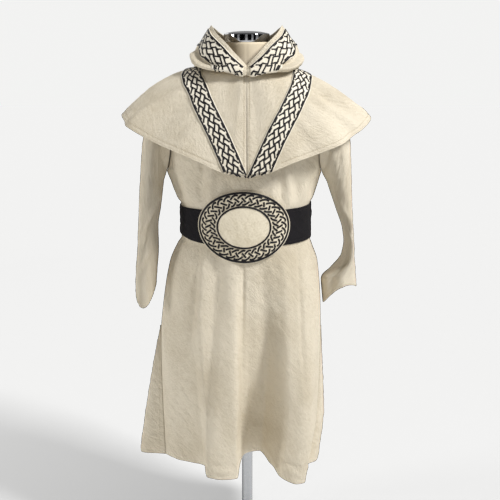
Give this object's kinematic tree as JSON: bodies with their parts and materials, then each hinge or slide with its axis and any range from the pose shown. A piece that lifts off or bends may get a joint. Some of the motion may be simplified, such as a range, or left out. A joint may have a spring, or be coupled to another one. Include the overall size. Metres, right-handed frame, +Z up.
{
  "type": "druid robe on a dress form",
  "caption": "Cream linen robe with bell sleeves, hooded shoulder cape, knotwork ribbons and a broad black belt with an oval plaque, on a limbless dress form.",
  "frame": {"origin": "centre of the stand base's underside, on the floor", "axes": "+Z up the stand's pole, the front faces -Y, +X is to the right of someone who looks at the front"},
  "size_m": [0.6316, 0.4216, 1.437],
  "materials": {
    "linen": "matt, woven, undyed",
    "ribbon": "matt cream cloth with black knotwork",
    "belt": "matt black cotton",
    "form": "matt jersey cover",
    "chrome": "polished",
    "steel": "satin"
  },
  "bodies": {
    "root": {"robe_front": "linen", "robe_back": "linen", "gore_left": "linen", "gore_right": "linen", "sleeve_left": "linen", "sleeve_right": "linen", "yoke_left": "linen", "yoke_right": "linen", "cape_left": "linen", "cape_right": "linen", "hood_left": "linen", "hood_right": "linen", "cape_trim_left": "ribbon", "cape_trim_right": "ribbon", "hood_trim_left": "ribbon", "hood_trim_right": "ribbon", "belt_plaque": "ribbon", "belt_band": "belt", "form_body": "form", "neck_cap": "chrome", "stand_pole": "steel", "stand_base": "steel"}
  },
  "joints": []
}
